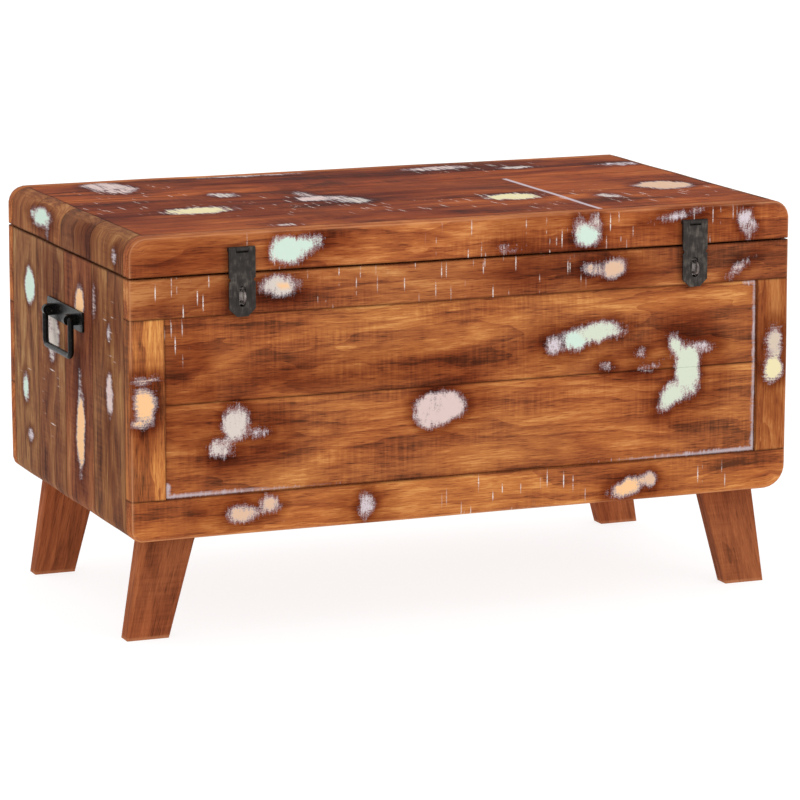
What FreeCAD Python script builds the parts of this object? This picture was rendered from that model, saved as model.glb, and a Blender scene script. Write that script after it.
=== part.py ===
import FreeCAD, Part
import math
import os

# A storage chest of reclaimed hardwood boards on four splayed plank legs.
# Millimetres. X runs along the front, Y from front to back, Z up.
# The origin is on the floor, under the middle of the chest's overall box.

V = FreeCAD.Vector
UP = V(0, 0, 1)
ALONG = V(1, 0, 0)
BACKWARD = V(0, 1, 0)

# Driving dimensions of the box
CHEST_LENGTH = 700.0
CHEST_DEPTH = 400.0
CHEST_HEIGHT = 400.0
LEG_HEIGHT = 105.0
LID_HEIGHT = 38.2
SEAM_GAP = 1.8
BOARD = 18.0
BODY_CORNER_R = 24.0
LID_CORNER_R = 18.0
EASED_EDGE_R = 4.0

# Front frame and its panel
TOP_RAIL = 39.0
BOTTOM_RAIL = 40.0
STILE = 35.0
PANEL_TONGUE = 8.0
PANEL_THICK = 10.0
PANEL_SET_BACK = 3.0
PANEL_FIELD_SET_BACK = 1.0
PANEL_BEVEL = 8.0
PANEL_JOINT_SHARE = 0.52

# Plank widths, front to back or bottom to top, as shares of the space they fill
SIDE_PLANK_SHARES = (0.27, 0.25, 0.25, 0.23)
LID_END_PLANK_SHARES = (0.28, 0.26, 0.24, 0.22)
BACK_BOARD_SHARES = (0.36, 0.33, 0.31)
BOTTOM_BOARD_SHARES = (0.34, 0.31, 0.35)
LID_TOP_BOARD_SHARES = (0.34, 0.32, 0.18, 0.16)
LID_BUTT_JOINT_X = 148.0
BUTT_JOINTED_BOARDS = 2

# Legs, measured from the end of the chest
LEG_THICK = 20.0
FRONT_LEG_SET_BACK = 35.0
BACK_LEG_SET_BACK = 41.0
FOOT_OUTER = 4.9
FOOT_INNER = 46.7
LEG_TOP_OUTER = 21.0
LEG_TOP_INNER = 80.0
LEG_FLARE_HEIGHT = 10.0
LEG_FLARE_REACH = 6.0
LEG_FLARE_MIDDLE_REACH = 2.7
LEG_FLARE_MIDDLE_DROP = 4.0
LEG_EDGE_R = 2.0

# Wood screws
SCREW_R = 1.5
SCREW_HEAD_R = 3.0
SCREW_LENGTH = 14.0
LEG_SCREW_R = 2.5
LEG_SCREW_HEAD_R = 5.0
LEG_SCREW_LENGTH = 60.0
LEG_SCREW_INSETS = (38.0, 60.0)

# Hasps: a strap hinged on the lid that drops over a staple on the front
LEFT_HASP_INSET = 112.0
RIGHT_HASP_INSET = 108.0
HASP_WIDTH = 27.0
HASP_AXIS_ABOVE_SEAM = 23.4
HASP_TIP_BELOW_SEAM = 41.5
HASP_PLATE = 1.8
HASP_LEAF = 1.5
HASP_LEAF_WIDTH = 25.0
HASP_LEAF_ABOVE_SEAM = 3.0
HASP_SCREW_ABOVE_SEAM = 10.0
HASP_BARREL_R = 2.6
HASP_PIN_R = 1.3
HASP_AXIS_OUT = 2.8
HASP_KNUCKLE = 12.0
HASP_TIP_WIDTH = 11.0
HASP_TAPER = 7.5
HASP_NOTCH_R = 1.8
HASP_NOTCH_BELOW_SEAM = 6.0
SLOT_WIDTH = 7.0
SLOT_HEIGHT = 20.0
STAPLE_BELOW_SEAM = 22.0
STAPLE_ROD_R = 1.4
STAPLE_HALF_SPREAD = 5.5
STAPLE_BEND_R = 5.45
STAPLE_BEND_OUT = 6.5
STAPLE_PLATE_WIDTH = 21.0
STAPLE_PLATE_HEIGHT = 30.0
STAPLE_SCREW_INSET = 4.0

# Butt hinges, with their leaves let into the seam
HINGE_X = 220.0
HINGE_LENGTH = 60.0
HINGE_LEAF = 1.5
HINGE_LEAF_DEPTH = 16.0
HINGE_KNUCKLES = 5
HINGE_BARREL_R = 3.2
HINGE_PIN_R = 1.5
HINGE_LEAF_GAP = 0.3
BARREL_GAP = 0.2

# Drop handles on both ends
HANDLE_Z = 297.0
HANDLE_PLATE_LENGTH = 116.0
HANDLE_PLATE_HEIGHT = 20.0
HANDLE_PLATE = 2.0
HANDLE_CORNER_R = 3.0
HANDLE_SCREW_INSET = 7.0
LUG_SPACING = 68.0
LUG_THICK = 6.0
LUG_R = 5.5
BAIL_R = 3.0
BAIL_AXIS_OUT = 9.0
BAIL_HALF_WIDTH = 42.0
BAIL_DROP = 36.0
BAIL_EYE_BEND_R = 4.4
BAIL_CORNER_R = 7.0
BAIL_END_HALF_GAP = 28.0

# Clearances
KNUCKLE_GAP = 0.3
PIN_CLEARANCE = 0.05
BAIL_CLEARANCE = 0.1

# Worked-out places
STAPLE_REACH = STAPLE_BEND_OUT + STAPLE_HALF_SPREAD + STAPLE_ROD_R
BARREL_REACH = 2 * HINGE_BARREL_R + BARREL_GAP
LEFT_X = -CHEST_LENGTH / 2
RIGHT_X = CHEST_LENGTH / 2
FRONT_Y = -CHEST_DEPTH / 2 + (STAPLE_REACH - BARREL_REACH) / 2
BACK_Y = FRONT_Y + CHEST_DEPTH
MIDDLE_Y = (FRONT_Y + BACK_Y) / 2
LID_BOTTOM = CHEST_HEIGHT - LID_HEIGHT
BODY_TOP = LID_BOTTOM - SEAM_GAP
SEAM_Z = BODY_TOP + SEAM_GAP / 2
HASP_AXIS_Z = SEAM_Z + HASP_AXIS_ABOVE_SEAM
STAPLE_Z = SEAM_Z - STAPLE_BELOW_SEAM
HASP_XS = {"left": LEFT_X + LEFT_HASP_INSET, "right": RIGHT_X - RIGHT_HASP_INSET}

os.makedirs("parts", exist_ok=True)
nodes = {}


def box(low, high):
    return Part.makeBox(high[0] - low[0], high[1] - low[1], high[2] - low[2], V(*low))


def cylinder(centre, axis, radius, length):
    """A cylinder centred on a point, along an axis."""
    return Part.makeCylinder(radius, length, centre - axis * (length / 2), axis)


def prism(points, direction):
    """A closed outline of corner points, pushed along a vector."""
    return Part.Face(Part.makePolygon(points + [points[0]])).extrude(direction)


def fuse(first, *others):
    return first.fuse(list(others)).removeSplitter()


def spans(start, end, shares):
    """Neighbouring stretches that fill the space from start to end."""
    stretches = []
    whole = end - start
    for share in shares:
        stop = start + share * whole
        stretches.append((start, stop))
        start = stop
    return stretches


def mirrored(shape):
    return shape.mirror(V(0, 0, 0), ALONG)


def screw(head_point, inward, radius=SCREW_R, head_radius=SCREW_HEAD_R, length=SCREW_LENGTH):
    """A countersunk wood screw whose flat head lies at head_point."""
    head_height = head_radius - radius
    head = Part.makeCone(head_radius, radius, head_height, head_point, inward)
    shank = Part.makeCylinder(radius, length - head_height, head_point + inward * head_height, inward)
    return head.fuse(shank).removeSplitter()


def rod_along(corners, bend_radii, radius):
    """A round rod along straight runs joined by tangent arcs."""
    edges = []
    start = corners[0]
    for i, bend in enumerate(bend_radii):
        before = (corners[i] - corners[i + 1]).normalize()
        after = (corners[i + 2] - corners[i + 1]).normalize()
        half_turn = (math.pi - before.getAngle(after)) / 2
        reach = bend * math.tan(half_turn)
        enter = corners[i + 1] + before * reach
        leave = corners[i + 1] + after * reach
        centre = corners[i + 1] + (before + after).normalize() * (bend / math.cos(half_turn))
        middle = centre + (corners[i + 1] - centre).normalize() * bend
        edges.append(Part.LineSegment(start, enter).toShape())
        edges.append(Part.Arc(enter, middle, leave).toShape())
        start = leave
    edges.append(Part.LineSegment(start, corners[-1]).toShape())
    path = Part.Wire(edges)
    section = Part.Wire(Part.makeCircle(radius, corners[0], corners[1] - corners[0]))
    return path.makePipeShell([section], True, True)


def edges_where(shape, test):
    return [edge for edge in shape.Edges if test(edge)]


# Rounded outer shapes of the body and the lid: every outer board is trimmed to one of them
def along_y_at(z):
    def test(edge):
        box_of_edge = edge.BoundBox
        return box_of_edge.YLength > CHEST_DEPTH - 1 and abs(box_of_edge.ZMin - z) < 0.1
    return test


def on_front_or_back(open_z):
    def test(edge):
        box_of_edge = edge.BoundBox
        flat = box_of_edge.YLength < 0.1
        on_opening = abs(box_of_edge.ZMin - open_z) < 0.1 and box_of_edge.ZLength < 0.1
        return flat and not on_opening
    return test


body_outside = box((LEFT_X, FRONT_Y, LEG_HEIGHT), (RIGHT_X, BACK_Y, BODY_TOP))
body_outside = body_outside.makeFillet(BODY_CORNER_R, edges_where(body_outside, along_y_at(LEG_HEIGHT)))
body_outside = body_outside.makeFillet(
    EASED_EDGE_R, edges_where(body_outside, on_front_or_back(BODY_TOP)))

lid_outside = box((LEFT_X, FRONT_Y, LID_BOTTOM), (RIGHT_X, BACK_Y, CHEST_HEIGHT))
lid_outside = lid_outside.makeFillet(LID_CORNER_R, edges_where(lid_outside, along_y_at(CHEST_HEIGHT)))
lid_outside = lid_outside.makeFillet(
    EASED_EDGE_R, edges_where(lid_outside, on_front_or_back(LID_BOTTOM)))

# Front of the body: two rails over the full length, two stiles between them, a panel in a groove
opening_left = LEFT_X + STILE
opening_right = RIGHT_X - STILE
opening_low = LEG_HEIGHT + BOTTOM_RAIL
opening_high = BODY_TOP - TOP_RAIL
front_inside = FRONT_Y + BOARD
panel_face = FRONT_Y + PANEL_SET_BACK

panel = box((opening_left - PANEL_TONGUE, panel_face, opening_low - PANEL_TONGUE),
            (opening_right + PANEL_TONGUE, panel_face + PANEL_THICK, opening_high + PANEL_TONGUE))
raised_field = Part.makeWedge(
    opening_left + PANEL_BEVEL, FRONT_Y + PANEL_FIELD_SET_BACK, opening_low + PANEL_BEVEL,
    opening_low, opening_left,
    opening_right - PANEL_BEVEL, panel_face, opening_high - PANEL_BEVEL,
    opening_high, opening_right)
groove = panel.copy()

frame_pieces = {
    "front_bottom_rail": ((LEFT_X, FRONT_Y, LEG_HEIGHT), (RIGHT_X, front_inside, opening_low)),
    "front_top_rail": ((LEFT_X, FRONT_Y, opening_high), (RIGHT_X, front_inside, BODY_TOP)),
    "front_left_stile": ((LEFT_X, FRONT_Y, opening_low), (opening_left, front_inside, opening_high)),
    "front_right_stile": ((opening_right, FRONT_Y, opening_low), (RIGHT_X, front_inside, opening_high)),
}
for name, (low, high) in frame_pieces.items():
    nodes[name] = box(low, high).common(body_outside).cut(groove)

panel = fuse(panel, raised_field)
panel_low = opening_low - PANEL_TONGUE
panel_high = opening_high + PANEL_TONGUE
panel_joint = panel_low + PANEL_JOINT_SHARE * (panel_high - panel_low)
for name, low_z, high_z in (("front_panel_lower_board", panel_low, panel_joint),
                            ("front_panel_upper_board", panel_joint, panel_high)):
    nodes[name] = panel.common(box((LEFT_X, FRONT_Y, low_z), (RIGHT_X, BACK_Y, high_z)))

# Back of the body: three full-length boards
for number, (low_z, high_z) in enumerate(spans(LEG_HEIGHT, BODY_TOP, BACK_BOARD_SHARES), 1):
    board = box((LEFT_X, BACK_Y - BOARD, low_z), (RIGHT_X, BACK_Y, high_z))
    nodes[f"back_board_{number}"] = board.common(body_outside)

# Ends of the body: upright planks between the front frame and the back boards
back_inside = BACK_Y - BOARD
for number, (near, far) in enumerate(spans(front_inside, back_inside, SIDE_PLANK_SHARES), 1):
    plank = box((LEFT_X, near, LEG_HEIGHT), (LEFT_X + BOARD, far, BODY_TOP)).common(body_outside)
    nodes[f"left_side_plank_{number}"] = plank
    nodes[f"right_side_plank_{number}"] = mirrored(plank)

# Bottom: boards along the chest, let in between the four walls
for number, (near, far) in enumerate(spans(front_inside, back_inside, BOTTOM_BOARD_SHARES), 1):
    board = box((LEFT_X + BOARD, near, LEG_HEIGHT), (RIGHT_X - BOARD, far, LEG_HEIGHT + BOARD))
    nodes[f"bottom_board_{number}"] = board.common(body_outside)

# Lid: a shallow frame of two rails and upright end planks, filled with boards flush on top
for name, near in (("lid_front_rail", FRONT_Y), ("lid_back_rail", back_inside)):
    rail = box((LEFT_X, near, LID_BOTTOM), (RIGHT_X, near + BOARD, CHEST_HEIGHT))
    nodes[name] = rail.common(lid_outside)

for number, (near, far) in enumerate(spans(front_inside, back_inside, LID_END_PLANK_SHARES), 1):
    plank = box((LEFT_X, near, LID_BOTTOM), (LEFT_X + BOARD, far, CHEST_HEIGHT)).common(lid_outside)
    nodes[f"lid_left_end_plank_{number}"] = plank
    nodes[f"lid_right_end_plank_{number}"] = mirrored(plank)

top_low = CHEST_HEIGHT - BOARD
for number, (near, far) in enumerate(spans(front_inside, back_inside, LID_TOP_BOARD_SHARES), 1):
    ends = [LEFT_X + BOARD, RIGHT_X - BOARD]
    if number <= BUTT_JOINTED_BOARDS:
        ends.insert(1, LID_BUTT_JOINT_X)
    for piece, (start, stop) in enumerate(zip(ends, ends[1:])):
        suffix = ("_left", "_right")[piece] if len(ends) == 3 else ""
        nodes[f"lid_top_board_{number}{suffix}"] = box((start, near, top_low), (stop, far, CHEST_HEIGHT))


# Legs: flat planks that splay along the chest, flared where they meet the bottom
def leg(front_face):
    straight_share = 1 - LEG_FLARE_HEIGHT / LEG_HEIGHT
    flare_x = FOOT_INNER + (LEG_TOP_INNER - LEG_FLARE_REACH - FOOT_INNER) * straight_share
    flare_start = V(LEFT_X + flare_x, front_face, LEG_HEIGHT - LEG_FLARE_HEIGHT)
    flare_middle = V(LEFT_X + flare_x + LEG_FLARE_MIDDLE_REACH, front_face,
                     LEG_HEIGHT - LEG_FLARE_MIDDLE_DROP)
    foot_outer = V(LEFT_X + FOOT_OUTER, front_face, 0)
    foot_inner = V(LEFT_X + FOOT_INNER, front_face, 0)
    top_inner = V(LEFT_X + LEG_TOP_INNER, front_face, LEG_HEIGHT)
    top_outer = V(LEFT_X + LEG_TOP_OUTER, front_face, LEG_HEIGHT)
    outline = Part.Wire([
        Part.LineSegment(foot_outer, foot_inner).toShape(),
        Part.LineSegment(foot_inner, flare_start).toShape(),
        Part.Arc(flare_start, flare_middle, top_inner).toShape(),
        Part.LineSegment(top_inner, top_outer).toShape(),
        Part.LineSegment(top_outer, foot_outer).toShape(),
    ])
    plank = Part.Face(outline).extrude(BACKWARD * LEG_THICK)

    def long_edge(edge):
        return edge.BoundBox.ZLength > LEG_HEIGHT / 2
    return plank.makeFillet(LEG_EDGE_R, edges_where(plank, long_edge))


leg_faces = {"front": FRONT_Y + FRONT_LEG_SET_BACK, "back": BACK_Y - BACK_LEG_SET_BACK - LEG_THICK}
for place, face in leg_faces.items():
    nodes[f"{place}_left_leg"] = leg(face)
    nodes[f"{place}_right_leg"] = mirrored(leg(face))

# Leg screws: two down through the bottom into the end of each leg
leg_screws = []
for face in leg_faces.values():
    for inset in LEG_SCREW_INSETS:
        head = V(LEFT_X + inset, face + LEG_THICK / 2, LEG_HEIGHT + BOARD)
        one = screw(head, -UP, LEG_SCREW_R, LEG_SCREW_HEAD_R, LEG_SCREW_LENGTH)
        leg_screws.extend([one, mirrored(one)])
nodes["leg_screws"] = Part.makeCompound(leg_screws)

chest_screws = []
lid_screws = []

# Hasps
def hasp_leaf(x):
    """The fixed leaf, flat on the lid behind the strap, with the middle knuckle."""
    knuckle_half = HASP_KNUCKLE / 2
    plate_top = HASP_AXIS_Z - HASP_BARREL_R - 2 * KNUCKLE_GAP
    plate = box((x - HASP_LEAF_WIDTH / 2, FRONT_Y - HASP_LEAF, LID_BOTTOM + HASP_LEAF_ABOVE_SEAM),
                (x + HASP_LEAF_WIDTH / 2, FRONT_Y, plate_top))
    neck = box((x - knuckle_half, FRONT_Y - HASP_LEAF, plate_top),
               (x + knuckle_half, FRONT_Y, HASP_AXIS_Z))
    axis_point = V(x, FRONT_Y - HASP_AXIS_OUT, HASP_AXIS_Z)
    knuckle = cylinder(axis_point, ALONG, HASP_BARREL_R, HASP_KNUCKLE)
    bore = cylinder(axis_point, ALONG, HASP_PIN_R, HASP_WIDTH)
    return fuse(plate, neck, knuckle).cut(bore)


def hasp_strap(x):
    """The swinging strap: two ears round the pin, notched sides, a slot and a tapered tip."""
    half = HASP_WIDTH / 2
    back = FRONT_Y - HASP_AXIS_OUT - HASP_BARREL_R + HASP_PLATE
    tip_z = SEAM_Z - HASP_TIP_BELOW_SEAM
    tip_half = HASP_TIP_WIDTH / 2
    outline = [V(x - half, back, HASP_AXIS_Z), V(x - half, back, tip_z + HASP_TAPER),
               V(x - tip_half, back, tip_z), V(x + tip_half, back, tip_z),
               V(x + half, back, tip_z + HASP_TAPER), V(x + half, back, HASP_AXIS_Z)]
    plate = prism(outline, -BACKWARD * HASP_PLATE)
    axis_point = V(x, FRONT_Y - HASP_AXIS_OUT, HASP_AXIS_Z)
    barrel = cylinder(axis_point, ALONG, HASP_BARREL_R, HASP_WIDTH)
    strap = fuse(plate, barrel)
    knuckle_half = HASP_KNUCKLE / 2 + KNUCKLE_GAP
    knuckle_room = box((x - knuckle_half, back - 10, HASP_AXIS_Z - HASP_BARREL_R - 2 * KNUCKLE_GAP),
                       (x + knuckle_half, FRONT_Y, HASP_AXIS_Z + 10))
    strap = strap.cut(knuckle_room)
    strap = strap.cut(cylinder(axis_point, ALONG, HASP_PIN_R + PIN_CLEARANCE, HASP_WIDTH + 2))
    straight = SLOT_HEIGHT - SLOT_WIDTH
    for side in (-1, 1):
        notch = V(x + side * half, back, SEAM_Z - HASP_NOTCH_BELOW_SEAM)
        strap = strap.cut(cylinder(notch, BACKWARD, HASP_NOTCH_R, 4 * HASP_PLATE))
        slot_end = V(x, back, STAPLE_Z + side * straight / 2)
        strap = strap.cut(cylinder(slot_end, BACKWARD, SLOT_WIDTH / 2, 4 * HASP_PLATE))
    slot_middle = box((x - SLOT_WIDTH / 2, back - 2 * HASP_PLATE, STAPLE_Z - straight / 2),
                      (x + SLOT_WIDTH / 2, back + HASP_PLATE, STAPLE_Z + straight / 2))
    return strap.cut(slot_middle)


def staple(x):
    """A round-rod loop on a small plate, standing through the strap's slot."""
    plate = box((x - STAPLE_PLATE_WIDTH / 2, FRONT_Y - HASP_LEAF, STAPLE_Z - STAPLE_PLATE_HEIGHT / 2),
                (x + STAPLE_PLATE_WIDTH / 2, FRONT_Y, STAPLE_Z + STAPLE_PLATE_HEIGHT / 2))
    root_y = FRONT_Y - HASP_LEAF / 2
    nose_y = FRONT_Y - STAPLE_BEND_OUT - STAPLE_HALF_SPREAD
    high_z = STAPLE_Z + STAPLE_HALF_SPREAD
    low_z = STAPLE_Z - STAPLE_HALF_SPREAD
    corners = [V(x, root_y, high_z), V(x, nose_y, high_z), V(x, nose_y, low_z), V(x, root_y, low_z)]
    return fuse(plate, rod_along(corners, [STAPLE_BEND_R, STAPLE_BEND_R], STAPLE_ROD_R))


hasp_pins = []
for side, x in HASP_XS.items():
    nodes[f"{side}_hasp_leaf"] = hasp_leaf(x)
    nodes[f"{side}_hasp_strap"] = hasp_strap(x)
    nodes[f"{side}_hasp_staple"] = staple(x)
    hasp_pins.append(cylinder(V(x, FRONT_Y - HASP_AXIS_OUT, HASP_AXIS_Z), ALONG, HASP_PIN_R, HASP_WIDTH))
    screw_z = LID_BOTTOM + HASP_SCREW_ABOVE_SEAM
    for offset in (-HASP_LEAF_WIDTH / 4, HASP_LEAF_WIDTH / 4):
        lid_screws.append(screw(V(x + offset, FRONT_Y - HASP_LEAF, screw_z), BACKWARD))
    screw_offset = STAPLE_PLATE_HEIGHT / 2 - STAPLE_SCREW_INSET
    for offset in (-screw_offset, screw_offset):
        chest_screws.append(screw(V(x, FRONT_Y - HASP_LEAF, STAPLE_Z + offset), BACKWARD))
nodes["hasp_pins"] = Part.makeCompound(hasp_pins)

# Hinges
hinge_y = BACK_Y + BARREL_GAP + HINGE_BARREL_R
knuckle_pitch = HINGE_LENGTH / HINGE_KNUCKLES
body_knuckles = range(0, HINGE_KNUCKLES, 2)
lid_knuckles = range(1, HINGE_KNUCKLES, 2)


def hinge_leaf(x, low_z, high_z, knuckles, bore_radius):
    """A flat leaf in the seam with its own knuckles curled round the pin."""
    start = x - HINGE_LENGTH / 2
    leaf = box((start, BACK_Y - HINGE_LEAF_DEPTH, low_z), (start + HINGE_LENGTH, BACK_Y, high_z))
    for number in knuckles:
        low_x = start + number * knuckle_pitch + KNUCKLE_GAP / 2
        high_x = start + (number + 1) * knuckle_pitch - KNUCKLE_GAP / 2
        tab = box((low_x, BACK_Y - 1.0, low_z), (high_x, hinge_y, high_z))
        barrel = cylinder(V((low_x + high_x) / 2, hinge_y, SEAM_Z), ALONG, HINGE_BARREL_R, high_x - low_x)
        leaf = leaf.fuse([tab, barrel])
    bore = cylinder(V(x, hinge_y, SEAM_Z), ALONG, bore_radius, HINGE_LENGTH + 2)
    return leaf.removeSplitter().cut(bore)


hinge_pins = []
half_gap = HINGE_LEAF_GAP / 2
for side, x in (("left", -HINGE_X), ("right", HINGE_X)):
    body_leaf = hinge_leaf(x, SEAM_Z - half_gap - HINGE_LEAF, SEAM_Z - half_gap, body_knuckles,
                           HINGE_PIN_R)
    lid_leaf = hinge_leaf(x, SEAM_Z + half_gap, SEAM_Z + half_gap + HINGE_LEAF, lid_knuckles,
                          HINGE_PIN_R + PIN_CLEARANCE)
    nodes[f"{side}_hinge_body_leaf"] = body_leaf
    nodes[f"{side}_hinge_lid_leaf"] = lid_leaf
    hinge_pins.append(cylinder(V(x, hinge_y, SEAM_Z), ALONG, HINGE_PIN_R, HINGE_LENGTH))
    for offset in (-HINGE_LENGTH / 3, 0.0, HINGE_LENGTH / 3):
        hole = V(x + offset, BACK_Y - HINGE_LEAF_DEPTH / 2, SEAM_Z)
        chest_screws.append(screw(hole - UP * half_gap, -UP))
        lid_screws.append(screw(hole + UP * half_gap, UP))
nodes["hinge_pins"] = Part.makeCompound(hinge_pins)


# Drop handles: a plate with two lugs, and a squared bail whose ends turn in through them
def handle_plate():
    half_length = HANDLE_PLATE_LENGTH / 2
    half_height = HANDLE_PLATE_HEIGHT / 2
    plate = box((LEFT_X - HANDLE_PLATE, MIDDLE_Y - half_length, HANDLE_Z - half_height),
                (LEFT_X, MIDDLE_Y + half_length, HANDLE_Z + half_height))
    corners = edges_where(plate, lambda edge: edge.BoundBox.XLength > HANDLE_PLATE / 2)
    plate = plate.makeFillet(HANDLE_CORNER_R, corners)
    for side in (-1, 1):
        y = MIDDLE_Y + side * LUG_SPACING / 2
        axis_point = V(LEFT_X - BAIL_AXIS_OUT, y, HANDLE_Z)
        eye = cylinder(axis_point, BACKWARD, LUG_R, LUG_THICK)
        neck = box((LEFT_X - BAIL_AXIS_OUT, y - LUG_THICK / 2, HANDLE_Z - LUG_R),
                   (LEFT_X - HANDLE_PLATE / 2, y + LUG_THICK / 2, HANDLE_Z + LUG_R))
        plate = plate.fuse([neck, eye])
    axis_middle = V(LEFT_X - BAIL_AXIS_OUT, MIDDLE_Y, HANDLE_Z)
    bore = cylinder(axis_middle, BACKWARD, BAIL_R + BAIL_CLEARANCE, LUG_SPACING + 2 * LUG_THICK)
    return plate.removeSplitter().cut(bore)


def bail():
    x = LEFT_X - BAIL_AXIS_OUT
    low_z = HANDLE_Z - BAIL_DROP
    near = MIDDLE_Y - BAIL_HALF_WIDTH
    far = MIDDLE_Y + BAIL_HALF_WIDTH
    corners = [V(x, MIDDLE_Y - BAIL_END_HALF_GAP, HANDLE_Z), V(x, near, HANDLE_Z), V(x, near, low_z),
               V(x, far, low_z), V(x, far, HANDLE_Z), V(x, MIDDLE_Y + BAIL_END_HALF_GAP, HANDLE_Z)]
    bends = [BAIL_EYE_BEND_R, BAIL_CORNER_R, BAIL_CORNER_R, BAIL_EYE_BEND_R]
    return rod_along(corners, bends, BAIL_R)


nodes["left_handle_plate"] = handle_plate()
nodes["right_handle_plate"] = mirrored(handle_plate())
nodes["left_handle_bail"] = bail()
nodes["right_handle_bail"] = mirrored(bail())
for side in (-1, 1):
    y = MIDDLE_Y + side * (HANDLE_PLATE_LENGTH / 2 - HANDLE_SCREW_INSET)
    one = screw(V(LEFT_X - HANDLE_PLATE, y, HANDLE_Z), ALONG)
    chest_screws.extend([one, mirrored(one)])

nodes["chest_hardware_screws"] = Part.makeCompound(chest_screws)
nodes["lid_hardware_screws"] = Part.makeCompound(lid_screws)

# Screw holes and hinge mortises: what the ironwork needs is cut from what it is fixed to
screw_nodes = ["leg_screws", "chest_hardware_screws", "lid_hardware_screws"]
screwed_iron = ["left_hasp_leaf", "right_hasp_leaf", "left_hasp_staple", "right_hasp_staple",
                "left_handle_plate", "right_handle_plate"]
hinge_leaves = [name for name in nodes if name.startswith(("left_hinge", "right_hinge"))]
wood = [name for name in nodes
        if "board" in name or "plank" in name or name.endswith(("_leg", "_rail", "_stile"))]
screws = [solid for name in screw_nodes for solid in nodes[name].Solids]


def cut_from(names, cutters):
    for name in names:
        for cutter in cutters:
            if cutter.BoundBox.intersect(nodes[name].BoundBox):
                nodes[name] = nodes[name].cut(cutter)


cut_from(wood, screws + [nodes[name] for name in hinge_leaves])
cut_from(screwed_iron + hinge_leaves, screws)

for name, shape in nodes.items():
    shape.exportStep(f"parts/{name}.step")
    print(name, len(shape.Solids), round(shape.Volume / 1000, 2), shape.isValid())
print(len(nodes), "nodes")
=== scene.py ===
import itertools
import math
import random

import bpy
import numpy as np
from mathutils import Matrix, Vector


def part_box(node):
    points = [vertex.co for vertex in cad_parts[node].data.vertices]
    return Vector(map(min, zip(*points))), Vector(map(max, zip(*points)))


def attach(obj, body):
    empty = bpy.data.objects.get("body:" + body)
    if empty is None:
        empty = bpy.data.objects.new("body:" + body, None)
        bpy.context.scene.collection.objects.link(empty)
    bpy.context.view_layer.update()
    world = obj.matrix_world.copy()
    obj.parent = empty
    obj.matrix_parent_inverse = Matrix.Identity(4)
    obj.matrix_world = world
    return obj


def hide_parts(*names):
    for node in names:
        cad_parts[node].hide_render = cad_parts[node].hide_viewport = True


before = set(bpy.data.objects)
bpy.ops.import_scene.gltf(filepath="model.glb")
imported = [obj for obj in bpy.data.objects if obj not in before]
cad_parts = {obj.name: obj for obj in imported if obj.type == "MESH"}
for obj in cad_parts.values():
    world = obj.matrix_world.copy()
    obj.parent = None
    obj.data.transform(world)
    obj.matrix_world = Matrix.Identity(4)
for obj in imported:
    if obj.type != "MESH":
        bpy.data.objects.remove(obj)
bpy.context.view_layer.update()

# Camera: a long lens that stands left of the front and looks slightly down on the lid.
CAMERA_TURN = math.radians(22.03)
CAMERA_DIP = math.radians(10.81)
CAMERA_DISTANCE = 4.159
CAMERA_AIM = Vector((0.0072, 0.0034, 0.1844))
lens = bpy.data.cameras.new("camera")
lens.sensor_width = 36.0
lens.lens = 181.6
camera = bpy.data.objects.new("camera", lens)
bpy.context.scene.collection.objects.link(camera)
away = Vector((-math.sin(CAMERA_TURN) * math.cos(CAMERA_DIP),
               -math.cos(CAMERA_TURN) * math.cos(CAMERA_DIP),
               math.sin(CAMERA_DIP)))
camera.location = CAMERA_AIM + away * CAMERA_DISTANCE
camera.rotation_mode = "QUATERNION"
camera.rotation_quaternion = away.to_track_quat("Z", "Y")
bpy.context.scene.camera = camera


def linear(colour):
    """An sRGB hex colour as linear red, green and blue."""
    parts = [int(colour[i:i + 2], 16) / 255 for i in (1, 3, 5)]
    return [c / 12.92 if c <= 0.04045 else ((c + 0.055) / 1.055) ** 2.4 for c in parts]


def add(tree, kind, inputs=(), stops=(), **settings):
    """Adds a node, with its settings, its colour stops, and its inputs as values or links."""
    node = tree.nodes.new("ShaderNode" + kind)
    for name, value in settings.items():
        setattr(node, name, value)
    for name, value in dict(inputs).items():
        if isinstance(value, bpy.types.NodeSocket):
            tree.links.new(value, node.inputs[name])
        else:
            node.inputs[name].default_value = value
    for number, (place, colour) in enumerate(stops):
        ramp = node.color_ramp.elements
        stop = ramp[number] if number < 2 else ramp.new(place)
        stop.position = place
        stop.color = (*linear(colour), 1.0)
    return node


def new_material(name):
    """An empty material with its principled shader already joined to the output."""
    material = bpy.data.materials.new(name)
    material.use_nodes = True
    tree = material.node_tree
    tree.nodes.clear()
    output = tree.nodes.new("ShaderNodeOutputMaterial")
    shader = tree.nodes.new("ShaderNodeBsdfPrincipled")
    tree.links.new(shader.outputs["BSDF"], output.inputs["Surface"])
    return material, tree, shader


# Studio floor: a wide sheet of opal acrylic lit evenly from below, so that the chest stands on white
# and hardly has a shadow.
FLOOR_HALF = 30.0
FLOOR_GLOW = 0.82
acrylic, tree, shader = new_material("opal acrylic sheet, cast")
haze = add(tree, "TexNoise", {"Scale": 300.0, "Detail": 2.0})
opal = add(tree, "ValToRGB", {"Fac": haze.outputs["Fac"]}, stops=((0.0, "#848484"), (1.0, "#868686")))
tree.links.new(opal.outputs["Color"], shader.inputs["Base Color"])
shader.inputs["Roughness"].default_value = 0.9
shader.inputs["Emission Color"].default_value = (1.0, 1.0, 1.0, 1.0)
shader.inputs["Emission Strength"].default_value = FLOOR_GLOW
floor_mesh = bpy.data.meshes.new("floor")
floor_corners = [(x * FLOOR_HALF, y * FLOOR_HALF, 0.0) for x, y in ((-1, -1), (1, -1), (1, 1), (-1, 1))]
floor_mesh.from_pydata(floor_corners, [], [(0, 1, 2, 3)])
floor_mesh.materials.append(acrylic)
floor = bpy.data.objects.new("floor", floor_mesh)
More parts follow.
